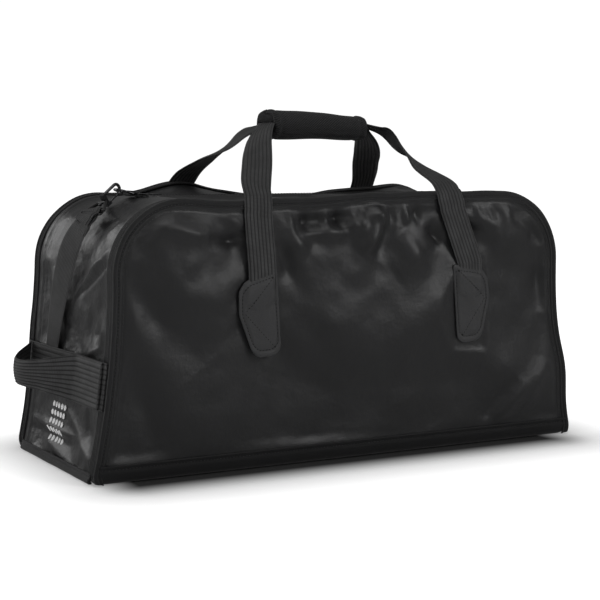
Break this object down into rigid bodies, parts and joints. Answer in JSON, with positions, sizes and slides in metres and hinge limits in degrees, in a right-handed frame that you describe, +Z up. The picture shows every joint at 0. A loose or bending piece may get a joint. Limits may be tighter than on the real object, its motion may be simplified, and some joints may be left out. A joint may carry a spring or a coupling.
{
  "type": "duffel bag",
  "caption": "Arched duffel bag with zipped top, paired webbing handles in a padded grip, end grab loops, clipped end strap and end pocket.",
  "frame": {"origin": "middle of the footprint, on the surface the bag stands on", "axes": "+X along the bag towards the pocket end, -Y out of the front panel, +Z up"},
  "size_m": [0.7556, 0.2814, 0.4415],
  "materials": {
    "nylon_shell": "coated nylon, fine plain weave, slight gloss, crinkled",
    "coated_base": "heavier coated polyester, matte",
    "stiffener_board": "hollow plastic board, matte",
    "lining": "thin polyester lining",
    "binding_tape": "ribbed binding tape with two stitch rows",
    "zip_tape": "woven zip tape",
    "zip_coil": "nylon coil",
    "dark_metal": "black enamelled zinc, satin",
    "black_plastic": "moulded acetal, satin",
    "patch_leather": "pebbled imitation leather, stitched",
    "handle_webbing": "heavy webbing with lengthwise ribs",
    "ribbed_webbing": "wide webbing with lengthwise ribs",
    "strap_webbing": "flat webbing, herringbone",
    "grip_fabric": "padded twill wrap",
    "hook_and_loop": "hook-and-loop tape"
  },
  "bodies": {
    "shell": {"front_panel": "nylon_shell", "back_panel": "nylon_shell", "left_end_panel": "nylon_shell", "right_end_panel": "nylon_shell", "base_panel": "coated_base", "base_board": "stiffener_board", "front_binding": "binding_tape", "back_binding": "binding_tape", "left_base_binding": "binding_tape", "right_base_binding": "binding_tape", "zip_end_left": "zip_coil", "zip_end_right": "zip_coil", "front_left_patch": "patch_leather", "front_right_patch": "patch_leather", "back_left_patch": "patch_leather", "back_right_patch": "patch_leather", "front_left_anchor": "handle_webbing", "front_right_anchor": "handle_webbing", "back_left_anchor": "handle_webbing", "back_right_anchor": "handle_webbing", "left_grab_band": "ribbed_webbing", "right_grab_band": "ribbed_webbing", "left_ring_tab": "strap_webbing", "right_ring_tab": "strap_webbing", "pocket_zip_tapes": "zip_tape", "pocket_zip_chain": "zip_coil", "pocket_lining": "lining"},
    "mouth_flap_front": {"top_gusset_front": "nylon_shell", "zip_tape_front": "zip_tape", "zip_chain_front": "zip_coil"},
    "mouth_flap_back": {"top_gusset_back": "nylon_shell", "zip_tape_back": "zip_tape", "zip_chain_back": "zip_coil"},
    "main_slider": {"zip_slider": "dark_metal"},
    "main_pull": {"zip_pull": "dark_metal"},
    "grip": {"grip_wrap": "grip_fabric", "grip_fastener": "hook_and_loop", "front_grip_webbing": "handle_webbing", "back_grip_webbing": "handle_webbing", "front_left_leg": "handle_webbing", "front_right_leg": "handle_webbing", "back_left_leg": "handle_webbing", "back_right_leg": "handle_webbing"},
    "grip_cover": {"grip_flap": "grip_fabric"},
    "left_hook_assembly": {"left_d_ring": "dark_metal", "left_hook": "dark_metal", "left_hook_loop": "black_plastic", "left_strap": "strap_webbing"},
    "left_gate": {"left_hook_gate": "dark_metal"},
    "right_ring": {"right_d_ring": "dark_metal"},
    "left_grab": {"left_grab_loop": "ribbed_webbing"},
    "right_grab": {"right_grab_loop": "ribbed_webbing"},
    "end_slider": {"pocket_slider": "dark_metal"},
    "end_pull": {"pocket_pull": "dark_metal"}
  },
  "joints": [
    {"name": "mouth_front_open", "type": "hinge", "parent": "shell", "child": "mouth_flap_front", "pos_m": [0, -0.1322, 0.331], "axis": [-1, 0, 0], "range_deg": [0, 80]},
    {"name": "mouth_back_open", "type": "hinge", "parent": "shell", "child": "mouth_flap_back", "pos_m": [0, 0.1322, 0.331], "axis": [1, 0, 0], "range_deg": [0, 80]},
    {"name": "main_zip_slide", "type": "slide", "parent": "shell", "child": "main_slider", "axis": [1, 0, 0], "range_m": [0, 0.462]},
    {"name": "main_pull_swing", "type": "hinge", "parent": "main_slider", "child": "main_pull", "pos_m": [-0.231, 0, 0.3356], "axis": [0, -1, 0], "range_deg": [0, 110]},
    {"name": "handle_drop", "type": "slide", "parent": "shell", "child": "grip", "axis": [0, 0, -1], "range_m": [0, 0.06], "deforming": ["front_left_leg", "front_right_leg", "back_left_leg", "back_right_leg"]},
    {"name": "grip_flap_open", "type": "hinge", "parent": "grip", "child": "grip_cover", "pos_m": [0.02, 0, 0.439], "axis": [-1, 0, 0], "range_deg": [0, 110]},
    {"name": "left_ring_swing", "type": "hinge", "parent": "shell", "child": "left_hook_assembly", "pos_m": [-0.246, 0, 0.33717], "axis": [0, 1, 0], "range_deg": [0, 20], "deforming": ["left_strap"]},
    {"name": "left_gate_open", "type": "hinge", "parent": "left_hook_assembly", "child": "left_gate", "pos_m": [-0.27501, -0.00521, 0.32606], "axis": [0.4067, -0.9135, 0], "range_deg": [0, 20], "stiffness_Nm_per_rad": 0.02, "springref_deg": -11.46},
    {"name": "right_ring_swing", "type": "hinge", "parent": "shell", "child": "right_ring", "pos_m": [0.28655, 0, 0.31975], "axis": [0, -1, 0], "range_deg": [0, 120]},
    {"name": "left_grab_lift", "type": "hinge", "parent": "shell", "child": "left_grab", "pos_m": [-0.33792, 0, 0.143], "axis": [0, 1, 0], "range_deg": [0, 35]},
    {"name": "right_grab_lift", "type": "hinge", "parent": "shell", "child": "right_grab", "pos_m": [0.33792, 0, 0.143], "axis": [0, -1, 0], "range_deg": [0, 35]},
    {"name": "pocket_zip_slide", "type": "slide", "parent": "shell", "child": "end_slider", "axis": [0, 1, 0], "range_m": [0, 0.19]},
    {"name": "pocket_pull_swing", "type": "hinge", "parent": "end_slider", "child": "end_pull", "pos_m": [0.34457, -0.105, 0.0345], "axis": [-0.2071, 0, 0.9783], "range_deg": [-55, 80]}
  ]
}
